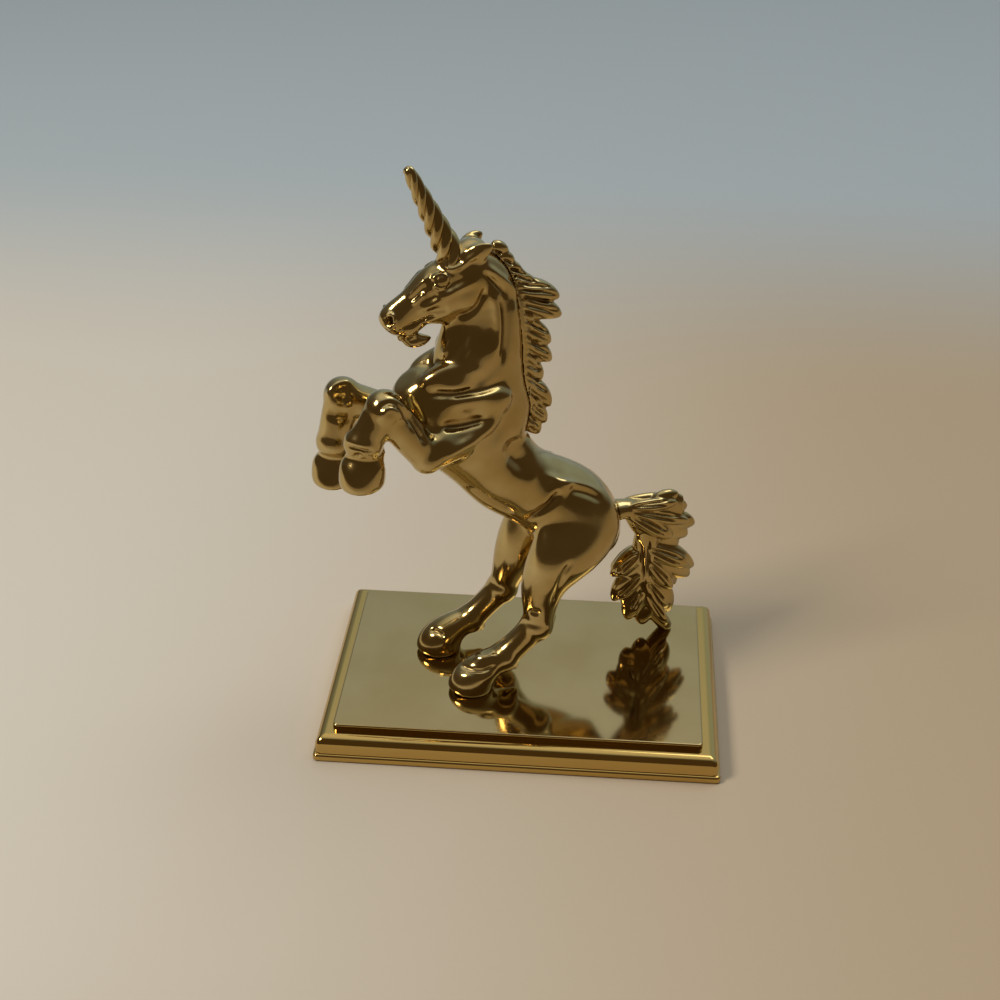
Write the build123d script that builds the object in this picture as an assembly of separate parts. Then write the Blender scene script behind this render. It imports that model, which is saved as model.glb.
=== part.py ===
"""Rearing unicorn figurine: brass castings brazed together and screwed to a moulded base plate.

Millimetres, +Z up. The origin is the middle of the underside, +X runs along the plate's long side.
The figure has a frame of its own on top of the plate: x towards the tail, y towards its right side, z up.
"""

import os
from math import cos, pi, radians, sin

from build123d import *

# Base plate, from the floor up: bead, band, sloping roll and cap tier
BASE_LENGTH = 76.0
BASE_WIDTH = 50.8
BEAD_HEIGHT = 1.2
BEAD_LEDGE = 0.5
BAND_HEIGHT = 1.5
ROLL_HEIGHT = 2.0
ROLL_REACH = 2.6
CAP_LEDGE = 0.4
CAP_HEIGHT = 1.2
EDGE_ROUND = 0.35
CORNER_ROUND = 0.9

# Felt pad in a recess under the plate
FELT_THICKNESS = 1.0
FELT_PROUD = 0.3
FELT_MARGIN = 4.0
FELT_CORNER = 2.0
FELT_GAP = 0.1

# Screws into the hind hooves, pegs between the castings, and their clearance
SCREW_SHANK = 2.5
SCREW_HEAD = 4.6
SCREW_HEAD_HEIGHT = 1.4
SCREW_GRIP = 2.4
PEG_DIAMETER = 3.0
PEG_LENGTH = 3.0
THIN_PEG = 1.5
HORN_PEG = 5.0
TAIL_PEG = 6.0
PEG_GAP = 0.05

# Where the figure stands on the plate
FIGURE_X = -12.7
FIGURE_Y = -2.2
FIGURE_HEADING = 22.0

# Hind legs: hooves flat on the plate, hocks behind them, hips above
HOOF_SPREAD = 13.8
HOOF_STRIDE = 2.6
HOOF_BACK = -0.7
HOOF_LENGTH = 9.8
HOOF_WIDTH = 7.8
HOOF_HEIGHT = 4.6
FETLOCK_BACK = 6.4
FETLOCK_HEIGHT = 5.8
HOCK_BACK = 13.0
HOCK_HEIGHT = 12.0
HOCK_DEPTH = 6.4
THIGH_DEPTH = 16.5
THIGH_WIDTH = 9.4
HIP_BACK = 22.0
HIP_HEIGHT = 31.0
HIP_SPREAD = 10.4

# Trunk, leaning back on the hips
TRUNK_LENGTH = 56.0
TRUNK_LEAN = 45.0
CHEST_DEPTH = 16.5
CHEST_WIDTH = 15.0
FLANK_DEPTH = 14.8
FLANK_WIDTH = 13.0
CROUP_DEPTH = 17.2
CROUP_WIDTH = 16.5

# Neck, head and horn
NECK_LENGTH = 27.0
NECK_LEAN = 2.0
NECK_BASE_DEPTH = 20.0
NECK_TOP_DEPTH = 11.5
NECK_BASE_WIDTH = 12.0
NECK_TOP_WIDTH = 6.6
HEAD_LENGTH = 18.8
HEAD_DROP = 28.0
HEAD_DEPTH = 11.4
HEAD_WIDTH = 7.6
MUZZLE_DEPTH = 6.0
MUZZLE_WIDTH = 4.8
CHIN_DEPTH = 2.6
EYE_DIAMETER = 2.2
EAR_LENGTH = 5.2
EAR_WIDTH = 3.7
HORN_LENGTH = 18.1
HORN_LEAN = 24.0
HORN_BASE = 5.4
HORN_TIP = 1.8
HORN_TURNS = 1.5
HORN_STARTS = 4
HORN_FLUTE = 0.22

# Forelegs, folded at the knee
ELBOW_SPREAD = 15.0
UPPER_ARM_DEPTH = 8.1
FOREARM_LENGTH = 12.9
FOREARM_WIDTH = 6.2
KNEE_WIDTH = 7.0
LEFT_RAISE = 124.0
RIGHT_RAISE = 151.0
LEFT_CANNON = 7.2
RIGHT_CANNON = 9.2
CANNON_WIDTH = 6.5
FETLOCK_WIDTH = 6.9
LEFT_FOLD = 237.0
RIGHT_FOLD = 258.0
TOE_ANGLE = 266.0
FORE_HOOF_LENGTH = 5.2
FORE_HOOF_WIDTH = 8.2

# Mane and tail
MANE_WIDTH = 4.4
MANE_DEPTH = 4.6
MANE_LOCK = 7.6
TAIL_REACH = 22.0
TAIL_WIDTH = 5.0
FAN_DEPTH = 11.6
LEAF_WIDTH = 6.4

# Heights of the plate's tiers
BEAD_TOP = FELT_PROUD + BEAD_HEIGHT
BAND_TOP = BEAD_TOP + BAND_HEIGHT
ROLL_TOP = BAND_TOP + ROLL_HEIGHT
BASE_TOP = ROLL_TOP + CAP_HEIGHT
RECESS_TOP = FELT_THICKNESS

FIGURE = Location((FIGURE_X, FIGURE_Y, BASE_TOP), (0, 0, FIGURE_HEADING))
ACROSS = Vector(0, 1, 0)
LEFT = -1
RIGHT = 1


def polar(length, degrees):
    """A step in the figure's side view: 0 degrees points to the tail and 90 points up."""
    return Vector(length * cos(radians(degrees)), 0, length * sin(radians(degrees)))


def oval(centre, along, depth, width):
    """An elliptical section square to a direction: depth in the side view, width across."""
    return Plane(origin=centre, x_dir=ACROSS, z_dir=along) * Ellipse(width / 2, depth / 2)


def ovals_along(stations):
    """A smooth loft through (centre, depth, width) stations, each square to the line they follow."""
    centres = [Vector(*s[0]) for s in stations]
    sections = []
    for i, (_, depth, width) in enumerate(stations):
        along = centres[min(i + 1, len(centres) - 1)] - centres[max(i - 1, 0)]
        sections.append(oval(centres[i], Vector(along.X, 0, along.Z), depth, width))
    return loft(sections)


def ball(centre, diameter):
    return Pos(*centre) * Sphere(diameter / 2)


def lock(root, tip, sag, width, thickness):
    """A pointed lock of hair on a curved line; sag bends it to the left of its way."""
    root, tip = Vector(root), Vector(tip)
    reach = tip - root
    middle = root + reach * 0.5 + Vector(-reach.Z, 0, reach.X) * sag
    stations = []
    for t, share in ((0.0, 0.6), (0.35, 1.0), (0.7, 0.8), (0.92, 0.42), (1.0, 0.16)):
        centre = root * (1 - t) ** 2 + middle * 2 * t * (1 - t) + tip * t**2
        stations.append((centre, width * share, thickness * share))
    return ovals_along(stations)


def peg(start, towards, diameter, length):
    """A round peg from a point towards a direction."""
    place = Plane(origin=start, z_dir=towards)
    return place * Cylinder(diameter / 2, length, align=(Align.CENTER, Align.CENTER, Align.MIN))


def socket(start, towards, diameter, length):
    """The hole for a peg, with the clearance round it and at its end."""
    return peg(start, towards, diameter + 2 * PEG_GAP, length + PEG_GAP)


def largest(shape):
    return max(shape.solids(), key=lambda solid: solid.volume)


# Trunk frame: shares of the length from the buttocks, heights above the middle line as shares of the chest
# depth, and the side in millimetres

TRUNK_ALONG = polar(1, 180 - TRUNK_LEAN)
TRUNK_UP = polar(1, 90 - TRUNK_LEAN)
HIP_SHARE = 0.183


def on_trunk(share, up=0.0, side=0.0):
    hip = Vector(HIP_BACK, 0, HIP_HEIGHT)
    return hip + TRUNK_ALONG * (share - HIP_SHARE) * TRUNK_LENGTH + TRUNK_UP * up * CHEST_DEPTH + ACROSS * side


def trunk_blank():
    """Barrel, breast and croup as one loft, from the buttocks to the breast."""
    waist_depth = (CROUP_DEPTH + FLANK_DEPTH) / 2
    waist_width = (CROUP_WIDTH + FLANK_WIDTH) / 2
    rib_depth = (CHEST_DEPTH + FLANK_DEPTH) / 2
    rib_width = (CHEST_WIDTH + FLANK_WIDTH) / 2
    return ovals_along(
        [
            (on_trunk(0.00, 0.11), CROUP_DEPTH * 0.34, CROUP_WIDTH * 0.44),
            (on_trunk(0.06, 0.055), CROUP_DEPTH * 0.76, CROUP_WIDTH * 0.80),
            (on_trunk(0.17, 0.035), CROUP_DEPTH, CROUP_WIDTH),
            (on_trunk(0.29, 0.055), waist_depth, waist_width),
            (on_trunk(0.40, -0.01), FLANK_DEPTH, FLANK_WIDTH),
            (on_trunk(0.53, -0.02), rib_depth, rib_width),
            (on_trunk(0.67, 0.025), CHEST_DEPTH * 0.97, CHEST_WIDTH),
            (on_trunk(0.82, 0.06), CHEST_DEPTH, CHEST_WIDTH),
            (on_trunk(0.93, 0.085), CHEST_DEPTH * 0.76, CHEST_WIDTH * 0.76),
            (on_trunk(0.98, 0.11), CHEST_DEPTH * 0.5, CHEST_WIDTH * 0.52),
            (on_trunk(1.0, 0.12), CHEST_DEPTH * 0.26, CHEST_WIDTH * 0.28),
        ]
    )


# Neck frame: shares of the length up from the shoulders, and distances back from the middle line

NECK_ROOT = on_trunk(0.726, 0.303)
NECK_ALONG = polar(1, 90 - NECK_LEAN)
NECK_BACK = polar(1, -NECK_LEAN)


def on_neck(share, back=0.0, side=0.0):
    return NECK_ROOT + NECK_ALONG * share * NECK_LENGTH + NECK_BACK * back + ACROSS * side


def neck_depth(share):
    return NECK_BASE_DEPTH + (NECK_TOP_DEPTH - NECK_BASE_DEPTH) * share


def neck_width(share):
    return NECK_BASE_WIDTH + (NECK_TOP_WIDTH - NECK_BASE_WIDTH) * share


def neck_blank():
    """The neck as one loft that bends forward under the poll."""
    upright = ((0.0, -0.015), (0.24, -0.025), (0.44, -0.01), (0.6, 0.005), (0.76, 0.0), (0.9, -0.035))
    deep = NECK_BASE_DEPTH
    stations = [(on_neck(-0.26, deep * 0.05), neck_depth(0.1), neck_width(0.2))]
    stations += [(on_neck(t, deep * back), neck_depth(t), neck_width(t)) for t, back in upright]
    stations.append((on_neck(1.02, deep * -0.115), neck_depth(1.0) * 0.86, neck_width(1.0)))
    stations.append((on_neck(1.08, deep * -0.22), neck_depth(1.0) * 0.6, neck_width(1.0) * 0.7))
    return ovals_along(stations)


# Head frame: shares of the length from the poll to the nose, heights above the middle line as shares of the
# depth, and the side in millimetres

HEAD_ROOT = on_neck(0.98)
HEAD_ALONG = polar(1, 180 + HEAD_DROP)
HEAD_UP = polar(1, 90 + HEAD_DROP)


def on_head(share, up=0.0, side=0.0):
    return HEAD_ROOT + HEAD_ALONG * share * HEAD_LENGTH + HEAD_UP * up * HEAD_DEPTH + ACROSS * side


def skull():
    return ovals_along(
        [
            (on_head(-0.10, 0.105), HEAD_DEPTH * 0.50, HEAD_WIDTH * 0.60),
            (on_head(0.0, 0.115), HEAD_DEPTH * 0.80, HEAD_WIDTH * 0.88),
            (on_head(0.14, 0.115), HEAD_DEPTH * 0.94, HEAD_WIDTH),
            (on_head(0.34, 0.105), HEAD_DEPTH, HEAD_WIDTH),
            (on_head(0.58, 0.155), HEAD_DEPTH * 0.79, HEAD_WIDTH * 0.76),
            (on_head(0.80, 0.19), MUZZLE_DEPTH, MUZZLE_WIDTH * 0.94),
            (on_head(0.91, 0.15), MUZZLE_DEPTH * 0.98, MUZZLE_WIDTH),
            (on_head(0.98, 0.12), MUZZLE_DEPTH * 0.7, MUZZLE_WIDTH * 0.76),
            (on_head(1.0, 0.11), MUZZLE_DEPTH * 0.4, MUZZLE_WIDTH * 0.44),
        ]
    )


def ear(side):
    """A leaf-shaped ear behind the horn, laid back and turned out."""
    root = on_head(0.06, 0.43, side * HEAD_WIDTH * 0.27)
    tip = root + polar(EAR_LENGTH, 32) + ACROSS * side * EAR_LENGTH * 0.2
    return lock(root, tip, 0.1, EAR_WIDTH, EAR_WIDTH * 0.46)


def chin():
    """The lower lip, drawn out backwards into a tuft."""
    lip = lock(on_head(0.60, -0.05), on_head(0.97, -0.175), -0.12, CHIN_DEPTH * 1.2, MUZZLE_WIDTH * 0.75)
    tuft = lock(on_head(0.92, -0.21), on_head(0.68, -0.42), -0.15, CHIN_DEPTH, MUZZLE_WIDTH * 0.6)
    return lip + tuft


def head_blank():
    head = skull() + chin()
    for side in (LEFT, RIGHT):
        head += ball(on_head(0.36, 0.24, side * HEAD_WIDTH * 0.38), EYE_DIAMETER)
        head += ear(side)
    return head


# Horn on the forehead

HORN_ROOT = on_head(0.16, 0.44)
HORN_ALONG = polar(1, 90 + HORN_LEAN)
HORN_SECTIONS = 25
FLUTE_START = 0.07
FLUTE_POINTS = 20


def horn_section(share):
    """A lobed section with sharp valleys, turned and narrowed as it goes up the horn."""
    radius = (HORN_BASE + (HORN_TIP - HORN_BASE) * share) / 2
    points = []
    for i in range(FLUTE_POINTS):
        angle = 2 * pi * i / FLUTE_POINTS
        swell = abs(sin(HORN_STARTS * angle / 2)) ** 0.7
        lobed = radius * (1 - HORN_FLUTE + HORN_FLUTE * swell)
        turned = angle + 2 * pi * (HORN_TURNS * share + FLUTE_START)
        points.append((lobed * cos(turned), lobed * sin(turned)))
    place = Plane(origin=HORN_ROOT + HORN_ALONG * share * HORN_LENGTH, x_dir=ACROSS, z_dir=HORN_ALONG)
    return place * make_face(Polyline(*points, close=True))


def horn_blank():
    shaft = loft([horn_section(i / (HORN_SECTIONS - 1)) for i in range(HORN_SECTIONS)])
    return shaft + ball(HORN_ROOT + HORN_ALONG * HORN_LENGTH, HORN_TIP * 1.08)


# Mane along the crest of the neck

CREST_BOW = 1.4
POLL_BEND = 11.0


def on_crest(share, out=0.0):
    """A point on the back line of the neck, or beyond it by a part of the longest lock."""
    bend = CREST_BOW * abs(share - 0.6) + POLL_BEND * max(0.0, share - 0.92)
    return on_neck(share, neck_depth(min(share, 1.0)) / 2 - bend + MANE_LOCK * out)


def mane_blank():
    """A strip of hair with a row of locks that point back and down, longest in a tuft behind the cheek."""
    spine = ((1.16, 0.3), (0.98, 0.55), (0.85, 0.8), (0.7, 1.0), (0.5, 1.0), (0.3, 1.0), (0.1, 0.95), (-0.12, 0.8))
    mane = ovals_along([(on_crest(t), MANE_DEPTH * s, MANE_WIDTH * s) for t, s in spine])
    locks = (
        (1.17, 1.12, 0.2, 0.55),
        (1.1, 1.05, 0.24, 0.6),
        (1.04, 0.97, 0.3, 0.6),
        (0.98, 0.91, 0.34, 0.7),
        (0.93, 0.86, 0.52, 0.8),
        (0.86, 0.78, 1.0, 1.0),
        (0.75, 0.65, 0.98, 1.0),
        (0.62, 0.46, 0.66, 0.9),
        (0.48, 0.33, 0.66, 0.9),
        (0.34, 0.2, 0.4, 0.9),
        (0.2, -0.01, 0.58, 0.9),
        (0.04, -0.13, 0.45, 0.85),
        (-0.06, -0.21, 0.25, 0.8),
    )
    for root, tip, out, size in locks:
        mane += lock(on_crest(root, -0.12), on_crest(tip, out), 0.14, MANE_DEPTH * size, MANE_WIDTH * 0.8 * size)
    return mane


# Tail: shares of the way back and down from the dock to the tip on the plate

DOCK = on_trunk(0.06, 0.315)
TAIL_TIP = Vector(HIP_BACK + TAIL_REACH, 0, 0)
TAIL_FOOT = TAIL_TIP + Vector(-THIN_PEG / 5, 0, 0)


def on_tail(back, down):
    return DOCK + Vector((TAIL_TIP.X - DOCK.X) * back, 0, (TAIL_TIP.Z - DOCK.Z) * down)


def tail_fan():
    """The upper fan of hair, spread flat behind the dock, with a scalloped edge."""
    w = TAIL_WIDTH
    fan = ovals_along(
        [
            (on_tail(0.0, 0.0), w, w),
            (on_tail(0.25, -0.01), w * 0.84, w * 0.84),
            (on_tail(0.5, 0.06), FAN_DEPTH * 0.68, w * 0.8),
            (on_tail(0.78, 0.1), FAN_DEPTH * 0.94, w * 0.74),
            (on_tail(1.05, 0.12), FAN_DEPTH * 0.86, w * 0.6),
        ]
    )
    for root, tip in (
        ((0.66, 0.0), (1.03, -0.07)),
        ((0.8, 0.04), (1.18, 0.04)),
        ((0.84, 0.12), (1.32, 0.19)),
        ((0.8, 0.18), (1.22, 0.27)),
        ((0.66, 0.2), (1.08, 0.33)),
    ):
        fan += lock(on_tail(*root), on_tail(*tip), 0.1, FAN_DEPTH * 0.38, w * 0.56)
    return fan


def tail_stem():
    """The stem that curves down from the fan to the plate."""
    w = TAIL_WIDTH
    return ovals_along(
        [
            (on_tail(0.62, 0.12), w, w * 0.7),
            (on_tail(0.56, 0.3), w, w * 0.9),
            (on_tail(0.56, 0.46), w, w * 0.9),
            (on_tail(0.6, 0.64), w * 0.9, w * 0.84),
            (on_tail(0.76, 0.84), w * 0.7, w * 0.72),
            (on_tail(0.93, 0.95), w * 0.6, w * 0.6),
            (on_tail(1.0, 1.0), w * 0.5, w * 0.45),
        ]
    )


def tail_blank():
    """The fan and the stem, with broad leaf-like locks on both sides of the stem."""
    leaves = (
        ((0.54, 0.28), (1.36, 0.53), 0.03, 0.85),
        ((0.58, 0.38), (1.3, 0.6), 0.08, 0.9),
        ((0.58, 0.32), (0.05, 0.49), -0.03, 0.75),
        ((0.58, 0.4), (0.22, 0.57), -0.06, 0.75),
        ((0.58, 0.48), (1.08, 0.65), 0.1, 0.9),
        ((0.6, 0.48), (0.11, 0.7), -0.2, 0.85),
        ((0.6, 0.56), (0.3, 0.77), -0.16, 0.8),
        ((0.6, 0.6), (1.0, 0.87), 0.2, 0.9),
        ((0.64, 0.62), (0.36, 0.88), -0.18, 0.85),
        ((0.7, 0.72), (0.6, 0.94), -0.16, 0.75),
    )
    tail = tail_fan() + tail_stem()
    for root, tip, sag, size in leaves:
        tail += lock(on_tail(*root), on_tail(*tip), sag, LEAF_WIDTH * size, TAIL_WIDTH * 0.8)
    return tail


# Legs


def fore_leg(side, raise_angle, fold_angle, cannon_length):
    """A folded foreleg: upper arm, forearm, knee, cannon, fetlock and a blocky hoof."""
    shoulder = on_trunk(0.76, 0.16, side * CHEST_WIDTH * 0.36)
    elbow = on_trunk(0.833, -0.32, side * ELBOW_SPREAD / 2)
    knee = elbow + polar(FOREARM_LENGTH, raise_angle)
    fetlock = knee + polar(cannon_length, fold_angle)
    toe_way = polar(1, TOE_ANGLE)
    coronet = fetlock + toe_way * FETLOCK_WIDTH * 0.46
    sole = toe_way * FORE_HOOF_LENGTH
    arm = FOREARM_WIDTH
    hoof = FORE_HOOF_WIDTH
    upper_arm = ovals_along(
        [
            (shoulder, UPPER_ARM_DEPTH, arm * 0.9),
            (shoulder + (elbow - shoulder) * 0.5, UPPER_ARM_DEPTH * 0.9, arm * 0.9),
            (elbow, arm * 0.9, arm * 0.82),
        ]
    )
    forearm = ovals_along(
        [
            (elbow, arm * 0.9, arm * 0.82),
            (elbow + (knee - elbow) * 0.45, arm, arm * 0.9),
            (knee, KNEE_WIDTH * 0.84, KNEE_WIDTH * 0.8),
        ]
    )
    shank = ovals_along(
        [
            (knee, KNEE_WIDTH * 0.92, KNEE_WIDTH * 0.86),
            (knee + (fetlock - knee) * 0.6, CANNON_WIDTH, CANNON_WIDTH * 0.92),
            (fetlock, FETLOCK_WIDTH * 0.94, FETLOCK_WIDTH * 0.88),
        ]
    )
    foot = ovals_along(
        [
            (fetlock, FETLOCK_WIDTH * 0.9, FETLOCK_WIDTH * 0.85),
            (coronet, FETLOCK_WIDTH, FETLOCK_WIDTH * 0.93),
            (coronet + sole * 0.16, hoof * 0.94, hoof * 0.86),
            (coronet + sole * 0.5, hoof, hoof * 0.9),
            (coronet + sole * 0.86, hoof * 0.98, hoof * 0.88),
            (coronet + sole, hoof * 0.86, hoof * 0.78),
        ]
    )
    tuft_root = fetlock + polar(FETLOCK_WIDTH * 0.2, fold_angle + 100)
    tuft_tip = fetlock + polar(FETLOCK_WIDTH * 0.72, fold_angle + 75)
    tuft = lock(tuft_root, tuft_tip, 0.0, FETLOCK_WIDTH * 0.5, FETLOCK_WIDTH * 0.4)
    leg = upper_arm + ball(elbow, arm * 0.97) + forearm + ball(knee, KNEE_WIDTH)
    return leg + shank + ball(fetlock, FETLOCK_WIDTH) + foot + tuft


def hind_leg(side):
    """A hind leg: thigh, gaskin, hock, cannon, fetlock and a hoof flat on the plate."""
    sole = hoof_middle(side)
    fetlock = sole + Vector(FETLOCK_BACK, 0, FETLOCK_HEIGHT)
    hock = sole + Vector(HOCK_BACK, 0, HOCK_HEIGHT)
    hip = Vector(HIP_BACK, side * HIP_SPREAD / 2, HIP_HEIGHT)
    way = hock - hip
    inward = ACROSS * -side * HIP_SPREAD
    forward = Vector(-THIGH_DEPTH, 0, 0)
    thigh = ovals_along(
        [
            (hip - way * 0.42 + forward * 0.2 + inward * 0.3, THIGH_DEPTH * 0.3, THIGH_WIDTH * 0.3),
            (hip - way * 0.28 + forward * 0.12 + inward * 0.13, THIGH_DEPTH * 0.82, THIGH_WIDTH * 0.76),
            (hip + way * 0.04 + inward * 0.03, THIGH_DEPTH, THIGH_WIDTH),
            (hip + way * 0.34 + forward * 0.14 - inward * 0.07, THIGH_DEPTH * 0.7, THIGH_WIDTH),
            (hip + way * 0.62 + forward * 0.13, HOCK_DEPTH * 1.28, HOCK_DEPTH * 1.2),
            (hip + way * 0.84 + forward * 0.05, HOCK_DEPTH * 1.0, HOCK_DEPTH * 0.98),
            (hock, HOCK_DEPTH, HOCK_DEPTH * 0.86),
        ]
    )
    cannon = ovals_along(
        [
            (hock, HOCK_DEPTH * 0.98, HOCK_DEPTH * 0.9),
            (hock + (fetlock - hock) * 0.5, HOCK_DEPTH * 0.84, HOCK_DEPTH * 0.8),
            (fetlock, HOCK_DEPTH * 0.92, HOCK_DEPTH * 0.86),
        ]
    )
    point_root = hock + polar(HOCK_DEPTH * 0.16, 200)
    hock_point = lock(point_root, hock + polar(HOCK_DEPTH * 0.66, 20), 0.0, HOCK_DEPTH * 0.62, HOCK_DEPTH * 0.53)
    heel_tuft = lock(fetlock, fetlock + polar(HOCK_DEPTH * 0.68, -50), 0.0, HOCK_DEPTH * 0.56, HOCK_DEPTH * 0.53)
    hoof = ovals_along(
        [
            (fetlock, HOCK_DEPTH * 0.84, HOCK_DEPTH * 0.82),
            (sole + Vector(FETLOCK_BACK * 0.5, 0, HOOF_HEIGHT), HOOF_LENGTH * 0.62, HOOF_WIDTH * 0.84),
            (sole + Vector(HOOF_LENGTH * 0.07, 0, HOOF_HEIGHT * 0.5), HOOF_LENGTH * 0.88, HOOF_WIDTH),
            (sole + Vector(0, 0, -HOOF_HEIGHT * 0.1), HOOF_LENGTH, HOOF_WIDTH),
        ]
    )
    leg = thigh + ball(hock, HOCK_DEPTH * 1.04) + hock_point + cannon
    leg += ball(fetlock, HOCK_DEPTH * 0.97) + heel_tuft + hoof
    return leg - below_ground()


def below_ground():
    """Everything under the plate's top, in the figure's frame."""
    reach = 4 * TRUNK_LENGTH
    return Box(reach, reach, reach, align=(Align.CENTER, Align.CENTER, Align.MAX))


def hoof_middle(side):
    return Vector(HOOF_BACK - side * HOOF_STRIDE / 2, side * HOOF_SPREAD / 2, 0)


# Base plate, felt and screws, in the plate's own frame


def tier(inset, bottom, height):
    """One plain tier of the plate with rounded corners, set in from the outline."""
    outline = RectangleRounded(BASE_LENGTH - 2 * inset, BASE_WIDTH - 2 * inset, CORNER_ROUND)
    return Pos(0, 0, bottom) * extrude(outline, height)


def top_edges(block):
    return block.edges().group_by(Axis.Z)[-1]


def plate_blank():
    """Bead, band, sloping roll and cap, from the floor up."""
    bead = tier(0.0, FELT_PROUD, BEAD_HEIGHT)
    bead = fillet(top_edges(bead), BEAD_HEIGHT * 0.45)
    band = tier(BEAD_LEDGE, BEAD_TOP, BAND_HEIGHT + ROLL_HEIGHT)
    band = fillet(top_edges(band), ROLL_HEIGHT * 0.98)
    cap_inset = BEAD_LEDGE + ROLL_REACH + CAP_LEDGE
    cap = tier(cap_inset, BAND_TOP, ROLL_HEIGHT + CAP_HEIGHT)
    return bead + band + fillet(top_edges(cap), EDGE_ROUND)


def felt_outline(gap):
    length = BASE_LENGTH - 2 * FELT_MARGIN - 2 * gap
    width = BASE_WIDTH - 2 * FELT_MARGIN - 2 * gap
    return extrude(RectangleRounded(length, width, FELT_CORNER), FELT_THICKNESS)


def screw(side):
    """A pan-headed screw from under the plate up into a hoof."""
    foot = FIGURE * Pos(*hoof_middle(side))
    head_bottom = RECESS_TOP + PEG_GAP
    head = peg(Vector(foot.position.X, foot.position.Y, head_bottom), Vector(0, 0, 1), SCREW_HEAD, SCREW_HEAD_HEIGHT)
    reach = BASE_TOP + SCREW_GRIP - head_bottom
    shank = peg(Vector(foot.position.X, foot.position.Y, head_bottom), Vector(0, 0, 1), SCREW_SHANK, reach)
    slot = Pos(foot.position.X, foot.position.Y, head_bottom) * Box(SCREW_HEAD * 1.2, 0.8, 1.0)
    return head + shank - slot


def screw_hole(side):
    foot = FIGURE * Pos(*hoof_middle(side))
    start = Vector(foot.position.X, foot.position.Y, 0)
    head_top = RECESS_TOP + PEG_GAP + SCREW_HEAD_HEIGHT
    up = Vector(0, 0, 1)
    bore = peg(start, up, SCREW_SHANK + 2 * PEG_GAP, BASE_TOP + SCREW_GRIP + PEG_GAP)
    return bore + peg(start, up, SCREW_HEAD + 2 * PEG_GAP, head_top)


def write(name, shape):
    export_step(shape, f"parts/{name}.step")


def leg_peg(side, base):
    """Where a leg's peg starts inside the leg, and the way it goes into the trunk."""
    return base, ACROSS * -side, PEG_DIAMETER, PEG_LENGTH * 1.4


def pegs():
    """Every peg by the casting that carries it: start, direction, diameter and length."""
    arm_share = 0.80
    arm_up = -0.097
    arm_side = CHEST_WIDTH * 0.53
    thigh_side = HIP_SPREAD * 0.5 + THIGH_WIDTH * 0.34
    return {
        "neck_and_head": (on_neck(0.32), NECK_ALONG * -1, PEG_DIAMETER * 1.6, NECK_LENGTH * 0.32),
        "horn": (HORN_ROOT + HORN_ALONG * HORN_PEG / 2, HORN_ALONG * -1, THIN_PEG, HORN_PEG),
        "tail": (on_tail(0.25, -0.01), Vector(-1, 0, 0), PEG_DIAMETER, TAIL_PEG),
        "left_foreleg": leg_peg(LEFT, on_trunk(arm_share, arm_up, -arm_side)),
        "right_foreleg": leg_peg(RIGHT, on_trunk(arm_share, arm_up, arm_side)),
        "left_hind_leg": leg_peg(LEFT, Vector(HIP_BACK, -thigh_side, HIP_HEIGHT)),
        "right_hind_leg": leg_peg(RIGHT, Vector(HIP_BACK, thigh_side, HIP_HEIGHT)),
    }


def castings():
    """The figure's castings, each seated on its neighbour with a peg in a socket."""
    trunk = trunk_blank()
    neck = neck_blank() + head_blank()
    tail_foot = peg(TAIL_FOOT + Vector(0, 0, THIN_PEG), Vector(0, 0, -1), THIN_PEG, THIN_PEG + PEG_LENGTH)
    figure = {
        "neck_and_head": neck - trunk,
        "horn": horn_blank() - neck,
        "mane": mane_blank() - neck - trunk,
        "tail": tail_blank() - trunk - below_ground() + tail_foot,
        "left_foreleg": fore_leg(LEFT, LEFT_RAISE, LEFT_FOLD, LEFT_CANNON) - trunk,
        "right_foreleg": fore_leg(RIGHT, RIGHT_RAISE, RIGHT_FOLD, RIGHT_CANNON) - trunk,
        "left_hind_leg": hind_leg(LEFT) - trunk,
        "right_hind_leg": hind_leg(RIGHT) - trunk,
    }
    for name, place in pegs().items():
        figure[name] = largest(figure[name]) + peg(*place)
        if name == "horn":
            figure["neck_and_head"] -= socket(*place)
        else:
            trunk -= socket(*place)
    figure["trunk"] = trunk
    return {name: FIGURE * largest(shape) for name, shape in figure.items()}


def base_plate():
    """The plate with the felt's recess, the screw holes and the hole for the tail's foot."""
    foot = FIGURE * Pos(*TAIL_FOOT)
    hole = socket(foot.position, Vector(0, 0, -1), THIN_PEG, PEG_LENGTH)
    return plate_blank() - felt_outline(0.0) - screw_hole(LEFT) - screw_hole(RIGHT) - hole


def main():
    os.makedirs("parts", exist_ok=True)
    figure = castings()
    figure["left_hind_leg"] -= screw_hole(LEFT)
    figure["right_hind_leg"] -= screw_hole(RIGHT)
    for name, shape in figure.items():
        write(name, shape)
    write("base_plate", base_plate())
    write("felt_pad", felt_outline(FELT_GAP))
    write("hoof_screws", Compound(children=[screw(LEFT), screw(RIGHT)]))


main()
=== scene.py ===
import math

import bmesh
import bpy
import numpy as np
from bpy.props import FloatProperty, FloatVectorProperty, PointerProperty
from mathutils import Matrix, Vector
from mathutils.bvhtree import BVHTree


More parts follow.
